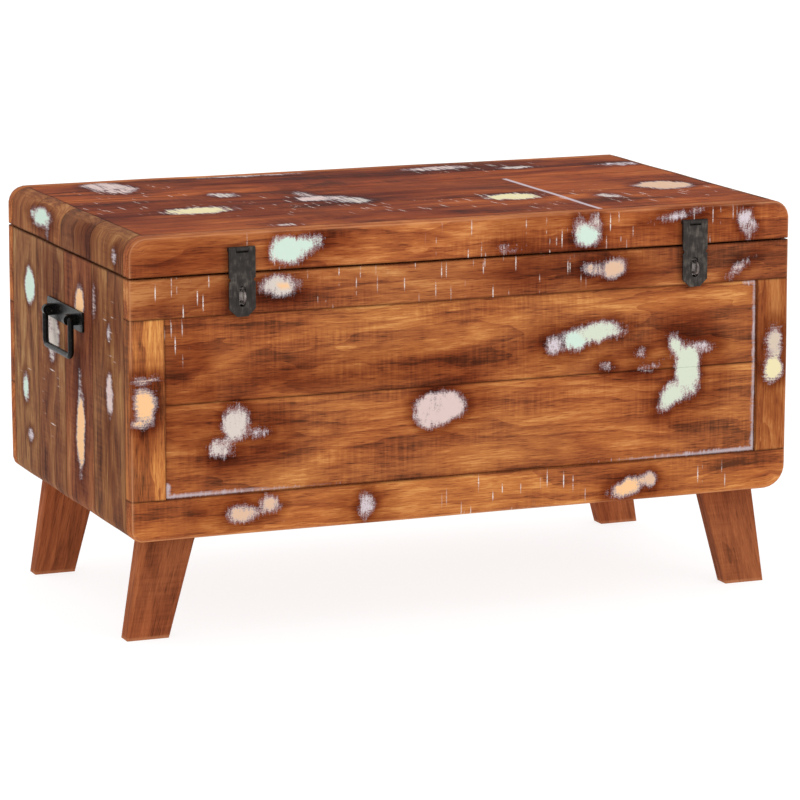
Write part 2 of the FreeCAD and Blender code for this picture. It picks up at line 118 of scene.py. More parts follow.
bpy.context.scene.collection.objects.link(floor)

# Studio light: an even white room, and one large soft light in front that leaves the left end duller.
world = bpy.data.worlds.new("white room")
bpy.context.scene.world = world
world.use_nodes = True
world.node_tree.nodes["Background"].inputs["Color"].default_value = (1.0, 1.0, 1.0, 1.0)
world.node_tree.nodes["Background"].inputs["Strength"].default_value = 1.06
bpy.context.scene.view_settings.view_transform = "Standard"
for name, place, size, power in (("front light", (2.2, -3.4, 1.4), 2.4, 26.0),
                                 ("top light", (0.3, 0.8, 3.2), 2.0, 4.0)):
    lamp = bpy.data.lights.new(name, "AREA")
    lamp.shape = "DISK"
    lamp.size = size
    lamp.energy = power
    light = bpy.data.objects.new(name, lamp)
    light.location = place
    light.rotation_mode = "QUATERNION"
    light.rotation_quaternion = (Vector(place) - CAMERA_AIM).to_track_quat("Z", "Y")
    bpy.context.scene.collection.objects.link(light)

# Front frame: two rails over the whole length and two stiles between them, sawn from old painted
# boards, glued up flush and hand sanded. Paint stays in the hollows, and worn arrises are pale.
MM = 0.001
# Mesh spacing, the step that counts as flush, and the roundings of joints, edges and bottom corners
GRID = 6.0
FLUSH = 0.1
ARRIS = 0.6
EASED = 4.0
BODY_CORNERS = (11.0, 24.0)
# Hand sanding: the width that it bares at an outside edge, its share on the corners, and its waviness
SANDED_EDGE = 2.5
CORNER_SANDING = 0.12
SANDING_DEPTH = 0.16
# Wear and painted shade: where paint ends round an edge, how saw marks and stains fade, and how wide the
# painted shade in the joints and the filler are
PAINT_DEPTH = 2.0
PAINT_FADE = 4.0
NO_PAINT = -40.0
ZONE_DEPTH = 2.5
SAW_MARKS = {"border": 12.0, "fade": 12.0}
STAINS = {"border": 14.0, "fade": 20.0}
JOINT_SHADE_WIDTH = 1.6
FILLER_REACH = 3.0
# The old coats of paint, all chalky with age
MINT = "#C8DDCE"
PALE_MINT = "#CCD5C1"
WHITE = "#D1C6BC"
LAVENDER = "#CFC3CA"
PINK = "#D5BDB7"
CREAM = "#F0BE8A"
PEACH = "#D8B396"
YELLOW = "#E3D7AA"
BONE = "#CCBAA6"
# Paints that were rubbed thin, so they are nowhere more solid than a few millimetres in from an edge
THIN_COATS = {WHITE: 2.5, LAVENDER: 2.0, PINK: 4.0}


def lines_across(low, high, extra=()):
    """Where mesh lines cross a board: every few millimetres, and closer at its two arrises."""
    close = (0.0, ARRIS / 2, ARRIS, EASED / 2, EASED)
    inner = np.linspace(low + EASED, high - EASED, max(2, round((high - low) / GRID)))
    places = [low + step for step in close] + [high - step for step in close] + list(inner) + list(extra)
    return np.unique(np.round(places, 3))


def box_of_quads(lines):
    """A closed box of quads whose corners lie on the lines given for each direction."""
    sizes = [len(line) for line in lines]
    quads = []
    for axis in range(3):
        u = (axis + 1) % 3
        v = (axis + 2) % 3
        for end in (0, sizes[axis] - 1):
            place = [None, None, None]
            place[u], place[v] = np.meshgrid(range(sizes[u]), range(sizes[v]), indexing="ij")
            place[axis] = np.full_like(place[u], end)
            code = np.ravel_multi_index(place, sizes)
            ring = [code[:-1, :-1], code[1:, :-1], code[1:, 1:], code[:-1, 1:]]
            if end == 0:
                ring.reverse()
            quads.append(np.stack(ring, -1).reshape(-1, 4))
    codes, faces = np.unique(np.concatenate(quads), return_inverse=True)
    at = np.unravel_index(codes, sizes)
    points = np.stack([np.asarray(line, float)[i] for line, i in zip(lines, at)], -1)
    return points, faces.reshape(-1, 4)


def to_round(reach):
    """Moves points of a square onto the round of the same size, with none left over."""
    longest = abs(reach).max(1)
    length = np.linalg.norm(reach, axis=1)
    return reach * (longest / np.maximum(length, 1e-9))[:, None]


def ease_arrises(points, low, high, outer=(), radius=ARRIS, edges=((0, 1), (0, 2), (1, 2))):
    """Rounds a board's edges, but for those where two outside faces meet.

    Returns how far each point is from the nearest edge that was rounded.
    """
    nearest = np.full(len(points), np.inf)
    for (a, b), a_end, b_end in itertools.product(edges, (0, 1), (0, 1)):
        if (a, a_end) in outer and (b, b_end) in outer:
            continue
        depth = np.stack([abs(points[:, a] - (low, high)[a_end][a]),
                          abs(points[:, b] - (low, high)[b_end][b])], -1)
        nearest = np.minimum(nearest, depth.max(1))
        near = (depth < radius).all(1)
        reach = radius - depth[near]
        shift = to_round(reach) - reach
        points[near, a] += (2 * a_end - 1) * shift[:, 0]
        points[near, b] += (2 * b_end - 1) * shift[:, 1]
    return nearest


def round_outside(points, low, high, closed, corners):
    """Bends board ends to the rounded outside of the body or lid.

    Returns how much sanding each point got, from 0 to 1.
    """
    middle = (low + high) / 2
    end_sign = np.where(points[:, 0] < middle[0], -1.0, 1.0)
    corner = np.where(end_sign < 0, *corners)
    end = np.minimum(points[:, 0] - low[0], high[0] - points[:, 0])
    side = points[:, 2] - low[2] if closed < 0 else high[2] - points[:, 2]
    in_corner = (end < corner) & (side < corner)
    reach = np.where(in_corner[:, None], corner[:, None] - np.stack([end, side], -1), 0.0)
    rounded = to_round(reach)
    points[:, 0] += end_sign * (rounded - reach)[:, 0]
    points[:, 2] += closed * (rounded - reach)[:, 1]
    longest = np.maximum(reach.max(1), 1e-9)
    towards_end = np.where(in_corner, rounded[:, 0] / longest, end < side)
    towards_side = np.where(in_corner, rounded[:, 1] / longest, end >= side)
    inset = np.where(in_corner, corner - longest, np.minimum(end, side))
    face_sign = np.where(points[:, 1] < middle[1], -1.0, 1.0)
    face = np.minimum(points[:, 1] - low[1], high[1] - points[:, 1])
    eased = (inset < EASED) & (face < EASED)
    reach = np.where(eased[:, None], EASED - np.stack([inset, face], -1), 0.0)
    shift = to_round(reach) - reach
    points[:, 0] += end_sign * towards_end * shift[:, 0]
    points[:, 2] += closed * towards_side * shift[:, 0]
    points[:, 1] += face_sign * shift[:, 1]
    on_edge = np.clip(1 - np.maximum(inset, face) / SANDED_EDGE, 0, 1)
    on_corner = np.where(in_corner, np.minimum(rounded.min(1) * 2 / corner, 1.0), 0.0)
    return np.maximum(on_edge, CORNER_SANDING * on_corner)


def hand_sanding(points):
    """Slow unevenness that hand sanding leaves across all the boards alike, in millimetres."""
    x, y, z = points.T
    uneven = [np.sin(y / 19 + 1.0) * np.sin(z / 23) + np.sin(y / 41 + z / 37),
              np.sin(x / 21 + 2.0) * np.sin(z / 17) + np.sin(x / 53 - z / 29),
              np.sin(x / 23 + 0.5) * np.sin(y / 20) + np.sin(x / 47 + y / 31)]
    return SANDING_DEPTH * np.stack(uneven, -1)


def inside_oval(flat, across, up, length, height, tilt=0.0):
    """About how far inside an oval each point of a face lies, in millimetres."""
    turn = math.radians(tilt)
    offset = flat - (across, up)
    u = (offset[:, 0] * math.cos(turn) + offset[:, 1] * math.sin(turn)) * 2 / length
    v = (offset[:, 1] * math.cos(turn) - offset[:, 0] * math.sin(turn)) * 2 / height
    return (1 - np.hypot(u, v)) * min(length, height) / 2


def near_face(cover, depth):
    """Keeps paint and stain on a board's face and just round its edges."""
    return np.maximum(cover - PAINT_FADE * np.maximum(depth - PAINT_DEPTH, 0), NO_PAINT)


def paint_patches(flat, depth, patches):
    """How far inside a patch of old paint each point lies, in millimetres, and the paint there."""
    cover = np.full(len(flat), NO_PAINT)
    paint = np.tile(linear(LAVENDER) + [1.0], (len(flat), 1))
    for *oval, colour in patches:
        inside = np.minimum(inside_oval(flat, *oval), THIN_COATS.get(colour, -NO_PAINT))
        paint[inside > cover] = linear(colour) + [1.0]
        cover = np.maximum(cover, inside)
    return near_face(cover, depth), paint


def zone_strength(flat, depth, zones, border, fade):
    """From 0 at a border outside the zones to 1 inside them, for saw marks or for stains."""
    cover = np.full(len(flat), NO_PAINT)
    for zone in zones:
        cover = np.maximum(cover, np.minimum(inside_oval(flat, *zone), ZONE_DEPTH))
    return np.clip((near_face(cover, depth) + border) / fade, 0, 1)[:, None]


def make_piece(name, points, faces, material, attributes):
    """A smooth mesh in metres with its named values on every vertex."""
    mesh = bpy.data.meshes.new(name)
    mesh.from_pydata((points * MM).tolist(), [], faces.tolist())
    mesh.shade_smooth()
    for label, values in attributes.items():
        kind = {1: "FLOAT", 3: "FLOAT_VECTOR", 4: "FLOAT_COLOR"}[values.shape[1]]
        field = {1: "value", 3: "vector", 4: "color"}[values.shape[1]]
        store = mesh.attributes.new(label, kind, "POINT")
        store.data.foreach_set(field, values.astype(np.float32).ravel())
    mesh.materials.append(material)
    piece = bpy.data.objects.new(name, mesh)
    bpy.context.scene.collection.objects.link(piece)
    return piece


def mm_box(node):
    """A frame node's lowest and highest corners, in millimetres."""
    low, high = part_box(node)
    return np.array(low) * 1000, np.array(high) * 1000


def chest_face(points, facing):
    """Points as seen on one face of the chest, from its left end, its front and the floor."""
    from_left = points[:, 0] - body_low[0]
    from_front = points[:, 1] - body_low[1]
    if facing == 0:
        return np.stack([from_front, points[:, 2]], -1)
    if facing == 1:
        return np.stack([from_left, points[:, 2]], -1)
    return np.stack([from_left, from_front], -1)


def grain_of(name, points, centre, along, facing):
    """Each point in its board's own directions, in metres: along the grain, across, and from the pith."""
    draw = random.Random(name)
    across = 3 - along - facing
    shift = [draw.uniform(-5, 5), draw.uniform(-0.04, 0.04), draw.uniform(0.05, 0.11)]
    return (points - centre)[:, [along, across, facing]] * MM + shift


def plough(points, plain, low, high, groove):
    """Sinks the groove for the panel's tongue into one edge of a front rail or stile."""
    axis, end = groove
    inside = abs(plain[:, axis] - (low, high)[end][axis]) < GROOVE_STEP / 2
    for other in (1, 2 - axis):
        inside &= (plain[:, other] > tongue_low[other]) & (plain[:, other] < tongue_high[other])
    points[inside, axis] += (1 - 2 * end) * TONGUE


def board(node, body, along, facing, low=None, tint=(1, 1, 1), patches=(), marks=(), stains=(),
          groove=None, softness=1.0, filler_x=None, timber_used=None):
    """One board of the body or the lid, cut to the frame's sizes and worn by hand.

    Along is its grain's axis, and facing is its shown face. Patches, marks and stains are ovals on that
    face, in millimetres: the middle, the length and the height. A patch has its tilt and paint too.
    """
    node_low, high = mm_box(node)
    low = node_low if low is None else low
    if body == "lid":
        outside_low, outside_high, closed, corners = lid_low, lid_high, 1, LID_CORNERS
    else:
        outside_low, outside_high, closed, corners = body_low, body_high, -1, BODY_CORNERS
    outer = {(axis, end) for axis in range(3) for end in (0, 1)
             if abs((low, high)[end][axis] - (outside_low, outside_high)[end][axis]) < FLUSH}
    # The side towards the seam between lid and body isn't rounded
    outer.discard((2, 0 if closed > 0 else 1))
    extra = [[], [], []]
    if groove:
        for other in (1, 2 - groove[0]):
            for wall in (tongue_low[other], tongue_high[other]):
                if low[other] < wall < high[other]:
                    extra[other] += [wall - GROOVE_STEP, wall + GROOVE_STEP]
    points, faces = box_of_quads([lines_across(low[i], high[i], extra[i]) for i in range(3)])
    plain = points.copy()
    grain = grain_of(node, points, (low + high) / 2, along, facing[0])
    depth = abs(points[:, facing[0]] - (high if facing[1] > 0 else low)[facing[0]])
    flat = chest_face(points, facing[0])
    edge = ease_arrises(points, low, high, outer)
    sanded = round_outside(points, outside_low, outside_high, closed, corners)
    if groove:
        plough(points, plain, low, high, groove)
    points += hand_sanding(points)
    cover, paint = paint_patches(flat, depth, patches)
    filler = np.zeros(len(points))
    if filler_x is not None:
        filler = np.clip(FILLER_REACH - abs(plain[:, 0] - filler_x), 0, 2) * (depth < EASED)
    piece = make_piece(node + "_wood", points, faces, timber_used or old_boards, {
        "grain": grain,
        "tint": np.tile([*tint, 1.0], (len(points), 1)),
        "sanded": sanded[:, None],
        # Painted shade along the joints, darker near each rounded arris
        "joint_shade": np.clip(1 - edge / JOINT_SHADE_WIDTH, 0, 1)[:, None],
        "cover": np.maximum(cover / softness, NO_PAINT)[:, None],
        "paint": paint,
        "sawn": zone_strength(flat, depth, marks, **SAW_MARKS),
        "stained": zone_strength(flat, depth, stains, **STAINS),
        "smear": filler[:, None],
    })
    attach(piece, body)
    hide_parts(node)
    return piece


def timber(name, colours, figure, cut_spacing=0.0, cut_length=0.0, cut_lean=0.0,
           tear_length=12 * MM, tear=7.0):
    """Oiled acacia: rings round a pith, long fibres, dark heartwood and, on old boards, worn paint.

    Saw cuts have a spacing along the grain, a length across it and a lean. Tears are the teeth at the
    edge of paint: their length across the grain in metres, and how far they reach in millimetres.
    """
    material, tree, shader = new_material(name)
    grain = add(tree, "Attribute", attribute_name="grain").outputs["Vector"]

    # Slow wander of the grain, about 40 mm wide and 170 mm long
    wide = add(tree, "VectorMath", {0: grain, 1: (6.0, 26.0, 26.0)}, operation="MULTIPLY")
    wander = add(tree, "TexNoise", {"Vector": wide.outputs[0], "Scale": 1.0, "Detail": 3.0})
    # Growth rings 6 mm apart, cut by the board face into long arches
    ring_spacing = 6 * MM
    bent = add(tree, "VectorMath", {0: wander.outputs["Color"], 1: (0.0, 0.024, 0.02)},
               operation="MULTIPLY")
    section = add(tree, "VectorMath", {0: grain, 1: (0.02, 1.0, 1.0), 2: bent.outputs[0]},
                  operation="MULTIPLY_ADD")
    radius = add(tree, "VectorMath", {0: section.outputs[0]}, operation="LENGTH")
    turns = add(tree, "Math", {0: radius.outputs["Value"], 1: ring_spacing}, operation="DIVIDE")
    ring = add(tree, "Math", {0: turns.outputs[0]}, operation="FRACT")
    late = add(tree, "MapRange", {"Value": ring.outputs[0], "From Min": 0.45, "From Max": 0.92})
    # Dark heartwood in clouds 60 mm wide and 220 mm long, drawn out along the grain
    long = add(tree, "VectorMath", {0: grain, 1: (4.6, 17.0, 17.0)}, operation="MULTIPLY")
    heart = add(tree, "TexNoise", {"Vector": long.outputs[0], "Scale": 1.0, "Detail": 6.0,
                                   "Roughness": 0.58, "Distortion": 1.3})
    clouds = add(tree, "MapRange", {"Value": heart.outputs["Fac"], "From Min": 0.34, "From Max": 0.68})
    # Fibres, drawn 2 mm wide so that they show. Real ones are far finer.
    fine = add(tree, "VectorMath", {0: grain, 1: (34.0, 520.0, 520.0)}, operation="MULTIPLY")
    fibre = add(tree, "TexNoise", {"Vector": fine.outputs[0], "Scale": 1.0, "Detail": 5.0,
                                   "Roughness": 0.75, "Distortion": 0.3})
    # Open pores, the dark dashes typical of acacia, 1 mm wide and 15 mm long
    pore_at = add(tree, "VectorMath", {0: grain, 1: (70.0, 1100.0, 1100.0)}, operation="MULTIPLY")
    pore = add(tree, "TexNoise", {"Vector": pore_at.outputs[0], "Scale": 1.0, "Detail": 1.0})
    pores = add(tree, "MapRange", {"Value": pore.outputs["Fac"], "From Min": 0.58, "From Max": 0.72})
    # Ripples left by the saw across the grain, 3 mm apart, in some places only
    ripple_at = add(tree, "VectorMath", {0: grain, 1: (330.0, 22.0, 22.0)}, operation="MULTIPLY")
    ripple = add(tree, "TexNoise", {"Vector": ripple_at.outputs[0], "Scale": 1.0, "Detail": 2.0})
    rough_spot = add(tree, "MapRange", {"Value": wander.outputs["Fac"], "From Min": 0.44, "From Max": 0.66})
    rippled = add(tree, "Math", {0: ripple.outputs["Fac"], 1: rough_spot.outputs[0]}, operation="MULTIPLY")

    # Each pattern darkens the wood by its own share
    darkness = 0.0
    for pattern, share in ((clouds.outputs[0], 0.36), (late.outputs[0], 0.14), (pores.outputs[0], 0.2),
                           (fibre.outputs["Fac"], 0.8), (rippled.outputs[0], 0.42)):
        darkness = add(tree, "Math", {0: pattern, 1: share * figure, 2: darkness},
                       operation="MULTIPLY_ADD").outputs[0]
    wood = add(tree, "ValToRGB", {"Fac": darkness}, stops=colours)
    tint = add(tree, "Attribute", attribute_name="tint")
    colour = add(tree, "Mix", {0: 1.0, 6: wood.outputs["Color"], 7: tint.outputs["Color"]},
                 data_type="RGBA", blend_type="MULTIPLY")
    # Redder wood in places, 120 mm across
    blush = add(tree, "TexNoise", {"Vector": grain, "Scale": 8.0, "Detail": 2.0})
    reddened = add(tree, "MapRange", {"Value": blush.outputs["Fac"], "From Min": 0.42, "From Max": 0.62})
    colour = add(tree, "Mix", {0: reddened.outputs[0], 6: colour.outputs[2], 7: (0.90, 0.80, 0.78, 1.0)},
                 data_type="RGBA", blend_type="MULTIPLY")
    # Painted shade in the joints: the wood darkens near each rounded arris, so every joint shows a dark
    # line
    joint_shade = add(tree, "Attribute", attribute_name="joint_shade")
    joint_shading = add(tree, "Math", {0: joint_shade.outputs["Fac"], 1: 0.7}, operation="MULTIPLY")
    colour = add(tree, "Mix", {0: joint_shading.outputs[0], 6: colour.outputs[2], 7: (*linear("#2E140A"), 1.0)},
                 data_type="RGBA")
    # Pale bare wood where edges were sanded
    sanded = add(tree, "Attribute", attribute_name="sanded")
    worn = add(tree, "Math", {0: wander.outputs["Fac"], 1: sanded.outputs["Fac"]}, operation="MULTIPLY")
    bared = add(tree, "Math", {0: worn.outputs[0], 1: 1.25}, operation="MULTIPLY", use_clamp=True)
    colour = add(tree, "Mix", {0: bared.outputs[0], 6: colour.outputs[2], 7: (*linear("#CE9168"), 1.0)},
                 data_type="RGBA")
    height = add(tree, "Math", {0: fibre.outputs["Fac"], 1: 0.25, 2: rippled.outputs[0]},
                 operation="MULTIPLY_ADD")

    if cut_length:
        # Dark wet-looking stains, from old iron and from the finish soaking in round the paint
        stained = add(tree, "Attribute", attribute_name="stained")
        cloud = add(tree, "Math", {0: stained.outputs["Fac"], 1: heart.outputs["Fac"]},
                    operation="MULTIPLY")
        stain = add(tree, "Math", {0: cloud.outputs[0], 1: 1.5}, operation="MULTIPLY", use_clamp=True)
        colour = add(tree, "Mix", {0: stain.outputs[0], 6: colour.outputs[2],
                                   7: (*linear("#B88E80"), 1.0)}, data_type="RGBA", blend_type="MULTIPLY")
        # The edge of the paint is uneven by lobes, by strokes 2 mm wide across the grain, and by specks
        lobe_reach = 10.0
        speck_reach = 7.0
        stroke_at = add(tree, "VectorMath", {0: grain, 1: (430.0, 1 / tear_length, 430.0)},
                        operation="MULTIPLY")
        stroke = add(tree, "TexNoise", {"Vector": stroke_at.outputs[0], "Scale": 1.0, "Detail": 2.0})
        speck = add(tree, "TexNoise", {"Vector": grain, "Scale": 800.0, "Detail": 1.0})
        lobe = add(tree, "TexNoise", {"Vector": grain, "Scale": 60.0, "Detail": 2.0})
        cover = add(tree, "Attribute", attribute_name="cover")
        lobed = add(tree, "Math", {0: lobe.outputs["Fac"], 1: lobe_reach, 2: cover.outputs["Fac"]},
                    operation="MULTIPLY_ADD")
        torn = add(tree, "Math", {0: stroke.outputs["Fac"], 1: tear, 2: lobed.outputs[0]},
                   operation="MULTIPLY_ADD")
        ragged = add(tree, "Math", {0: speck.outputs["Fac"], 1: speck_reach, 2: torn.outputs[0]},
                     operation="MULTIPLY_ADD")
        # Noises are 0.5 on the whole, so this is the ragged cover at a patch's own edge
        mean = (lobe_reach + tear + speck_reach) / 2
        border = add(tree, "MapRange", {"Value": lobed.outputs[0], "From Min": -6.0, "From Max": 4.0})
        colour = add(tree, "Mix", {0: border.outputs[0], 6: colour.outputs[2],
                                   7: (*linear("#B49084"), 1.0)}, data_type="RGBA", blend_type="MULTIPLY")
        film = add(tree, "MapRange", {"Value": ragged.outputs[0], "From Min": mean - 2.5,
                                      "From Max": mean + 2.0, "To Max": 0.5})
        colour = add(tree, "Mix", {0: film.outputs[0], 6: colour.outputs[2], 7: (*linear(LAVENDER), 1.0)},
                     data_type="RGBA")
        solid = add(tree, "MapRange", {"Value": ragged.outputs[0], "From Min": mean,
                                       "From Max": mean + 3.0, "To Max": 0.94})
        thick = add(tree, "MapRange", {"Value": ragged.outputs[0], "From Min": mean - 1.0,
                                       "From Max": mean + 3.0})
        paint = add(tree, "Attribute", attribute_name="paint")
        coat = add(tree, "Mix", {0: thick.outputs[0], 6: (*linear(WHITE), 1.0), 7: paint.outputs["Color"]},
                   data_type="RGBA")
        colour = add(tree, "Mix", {0: solid.outputs[0], 6: colour.outputs[2], 7: coat.outputs[2]},
                     data_type="RGBA")
        # White paint left in single saw cuts across the grain, in bunches
        cut_at = add(tree, "Mapping", {"Vector": grain, "Rotation": (0.0, 0.0, cut_lean),
                                       "Scale": (cut_spacing, cut_length, 1.0)}, vector_type="TEXTURE")
        cuts = add(tree, "TexVoronoi", {"Vector": cut_at.outputs[0], "Scale": 1.0},
                   voronoi_dimensions="2D")
        near_cut = add(tree, "MapRange", {"Value": cuts.outputs["Distance"],
                                          "From Min": 0.13, "From Max": 0.06})
        sawn = add(tree, "Attribute", attribute_name="sawn")
        bunch = add(tree, "MapRange", {"Value": lobe.outputs["Fac"], "From Min": 0.42, "From Max": 0.52})
        broken = add(tree, "MapRange", {"Value": speck.outputs["Fac"], "From Min": 0.34, "From Max": 0.5})
        line = near_cut
        for gate in (sawn.outputs["Fac"], bunch.outputs[0], broken.outputs[0]):
            line = add(tree, "Math", {0: line.outputs[0], 1: gate}, operation="MULTIPLY")
        colour = add(tree, "Mix", {0: line.outputs[0], 6: colour.outputs[2], 7: (*linear("#E0D4CE"), 1.0)},
                     data_type="RGBA")
        # Whitish paint smeared along the panel's bevel, and the pale filler in the lid's butt joint
        smear = add(tree, "Attribute", attribute_name="smear")
        streaked = add(tree, "Math", {0: stroke.outputs["Fac"], 1: fibre.outputs["Fac"]},
                       operation="MAXIMUM")
        smeared = add(tree, "Math", {0: streaked.outputs[0], 1: smear.outputs["Fac"]}, operation="ADD")
        wiped = add(tree, "MapRange", {"Value": smeared.outputs[0], "From Min": 1.05, "From Max": 1.45,
                                       "To Max": 0.75})
        colour = add(tree, "Mix", {0: wiped.outputs[0], 6: colour.outputs[2], 7: (*linear(LAVENDER), 1.0)},
                     data_type="RGBA")
        height = add(tree, "Math", {0: solid.outputs[0], 1: 0.5, 2: height.outputs[0]},
                     operation="MULTIPLY_ADD")

    tree.links.new(colour.outputs[2], shader.inputs["Base Color"])
    gloss = add(tree, "MapRange", {"Value": fibre.outputs["Fac"], "To Min": 0.5, "To Max": 0.7})
    tree.links.new(gloss.outputs[0], shader.inputs["Roughness"])
    shader.inputs["Specular IOR Level"].default_value = 0.02
    relief = add(tree, "Bump", {"Height": height.outputs[0], "Strength": 0.5, "Distance": 0.4 * MM})
    tree.links.new(relief.outputs["Normal"], shader.inputs["Normal"])
    return material


# The outsides of body and lid. The panel's tongue is ploughed 8 mm into the front frame, and its field
# stands 2 mm higher than the foot of its bevel.
body_low = mm_box("front_bottom_rail")[0]
top_rail_high = mm_box("front_top_rail")[1]
body_high = np.array([top_rail_high[0], mm_box("back_board_3")[1][1], top_rail_high[2]])
lid_low = mm_box("lid_front_rail")[0]
lid_high = mm_box("lid_back_rail")[1]
panel_low = mm_box("front_panel_lower_board")[0]
panel_high = mm_box("front_panel_upper_board")[1]
LID_CORNERS = (18.0, 18.0)
TONGUE = 8.0
GROOVE_STEP = 0.02
FIELD_RISE = 2.0
tongue_low = panel_low + (0, FIELD_RISE, 0)
tongue_high = panel_high
# The axis that a face looks along, and which way
FRONT = (1, -1)
BACK = (1, 1)
LEFT = (0, -1)
RIGHT = (0, 1)
TOP = (2, 1)
UNDER = (2, -1)
# Old boards are orange brown with dark streaks and blotches, under what is left of pale paint.
WORN_BROWNS = ((0.36, "#D89858"), (0.56, "#B8713C"), (0.78, "#93512E"), (1.0, "#5A3421"))
old_boards = timber("reclaimed acacia, sanded and oiled", WORN_BROWNS, 1.0, 6 * MM, 80 * MM)

board("front_top_rail", "chest", 0, FRONT, groove=(2, 0), tint=(0.84, 0.84, 0.96), patches=(
    (154, 346, 36, 20, 0, WHITE), (156, 345, 16, 12, 0, CREAM), (505, 343, 26, 17, 0, PEACH),
    (485, 343, 20, 9, 0, PEACH), (646, 336, 22, 7, 35, PINK)),
    marks=((54, 341, 60, 40), (210, 345, 60, 30), (395, 340, 110, 30), (300, 345, 40, 24)),
    stains=((150, 340, 60, 40), (500, 340, 90, 40), (420, 345, 80, 30), (70, 342, 110, 44)))
board("front_bottom_rail", "chest", 0, FRONT, groove=(2, 1), patches=(
    (112, 126, 28, 17, 5, PEACH), (140, 133, 20, 14, 0, PEACH), (240, 123, 15, 24, 0, LAVENDER),
    (522, 119, 36, 18, 15, CREAM), (547, 126, 14, 14, 0, PEACH)),
    marks=((145, 120, 30, 30), (370, 122, 60, 30), (450, 125, 40, 30), (612, 118, 30, 26)),
    stains=((240, 122, 50, 36), (100, 130, 60, 30), (530, 120, 60, 30)))
board("front_left_stile", "chest", 2, FRONT, groove=(0, 1), tint=(1.15, 1.3, 1.3), patches=(
    (14, 238, 22, 32, 0, CREAM), (13, 264, 26, 5, 3, CREAM), (9, 222, 18, 7, 0, CREAM)),
    stains=((13, 236, 30, 66), (13, 236, 24, 60)))
board("front_right_stile", "chest", 2, FRONT, groove=(0, 0), tint=(0.72, 0.67, 0.7), patches=(
    (684, 256, 17, 32, 0, BONE), (684, 229, 22, 25, 0, YELLOW)),
    stains=((684, 244, 26, 60),))

# Front panel: two wide boards joined edge to edge, with a low raised field and a bevel all round. Its
# tongue floats in the frame's groove, and whitish paint is left in the bevel where sanding can't reach.
BEVEL = 8.0
opening_low = np.array([mm_box("front_left_stile")[1][0], 0, mm_box("front_bottom_rail")[1][2]])
opening_high = np.array([mm_box("front_right_stile")[0][0], 0, mm_box("front_top_rail")[0][2]])
bevel_steps = np.linspace(0, BEVEL, 5)
panel_patches = (
    (107, 215, 26, 34, 0, WHITE), (92, 191, 24, 17, -10, WHITE), (128, 204, 14, 8, 0, LAVENDER),
    (313, 214, 42, 34, 0, PINK), (331, 217, 28, 24, -10, PINK), (306, 203, 18, 16, 0, PINK),
    (486, 279, 55, 19, 5, PALE_MINT), (464, 272, 30, 22, 0, MINT), (443, 268, 22, 15, 0, LAVENDER),
    (588, 236, 28, 52, 5, PALE_MINT), (579, 256, 14, 32, 34, PALE_MINT),
    (573, 212, 42, 18, 43, PALE_MINT), (584, 246, 12, 28, 10, MINT), (604, 257, 22, 8, 0, LAVENDER),
    (536, 255, 8, 6, 0, PINK), (498, 244, 6, 4, -30, WHITE), (549, 241, 8, 2, 15, PINK))
panel_stains = ((110, 200, 110, 70), (250, 258, 240, 26), (440, 268, 60, 40), (585, 235, 90, 110),
                (330, 222, 80, 60), (60, 240, 50, 120), (520, 245, 60, 30))
panel_marks = ((46, 300, 8, 16),)
PANEL_TINT = (0.95, 0.97, 1.02)
for node in ("front_panel_lower_board", "front_panel_upper_board"):
    low, high = mm_box(node)
    lines = [lines_across(low[i], high[i]) for i in range(3)]
    for i in (0, 2):
        near = np.concatenate([opening_low[i] + bevel_steps, opening_high[i] - bevel_steps])
        near = near[(near > low[i]) & (near < high[i])]
        lines[i] = np.unique(np.round(np.concatenate([lines[i], near]), 3))
    points, faces = box_of_quads(lines)
    grain = grain_of(node, points, (low + high) / 2, 0, 1)
    depth = points[:, 1] - low[1]
    flat = chest_face(points, 1)
    edge = ease_arrises(points, low, high)
    inside = np.minimum(points - opening_low, opening_high - points)[:, [0, 2]].min(1)
    recess = FIELD_RISE * (1 - np.clip(inside / BEVEL, 0, 1))
    thickness = high[1] - low[1]
    points[:, 1] += recess * (high[1] - points[:, 1]) / thickness
    points += hand_sanding(points)
    cover, paint = paint_patches(flat, depth, panel_patches)
    # Painted shade along the joints and where the field's bevel meets the frame
    joint_shade = np.maximum(np.clip(1 - edge / JOINT_SHADE_WIDTH, 0, 1), np.clip(1 - inside / 2, 0, 1))
    across = (points[:, 0] - opening_low[0]) / (opening_high[0] - opening_low[0])
    up = (points[:, 2] - opening_low[2]) / (opening_high[2] - opening_low[2])
    # Paint lies thick in the bottom bevel but for its middle, all up the right one, and low on the left
    on_bottom = (0.55 + 0.45 * np.cos(across * 2 * np.pi)) * (up < 0.08)
    on_right = 0.85 * (across > 0.97)
    on_left = np.clip(1 - up * 6, 0, 1) * (across < 0.03)
    where = np.maximum(np.maximum(on_bottom, on_right), on_left)
    smear = np.minimum(0.5 + inside / 4, np.clip(1.3 - 1.1 * inside / BEVEL, 0, 1)) * where
    piece = make_piece(node + "_wood", points, faces, old_boards, {
        "grain": grain,
        "tint": np.tile([*PANEL_TINT, 1.0], (len(points), 1)),
        "sanded": np.zeros((len(points), 1)),
        "joint_shade": joint_shade[:, None],
        "cover": cover[:, None],
        "paint": paint,
        "sawn": zone_strength(flat, depth, panel_marks, **SAW_MARKS),
        "stained": zone_strength(flat, depth, panel_stains, **STAINS),
        "smear": smear[:, None],
    })
    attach(piece, "chest")
    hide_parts(node)

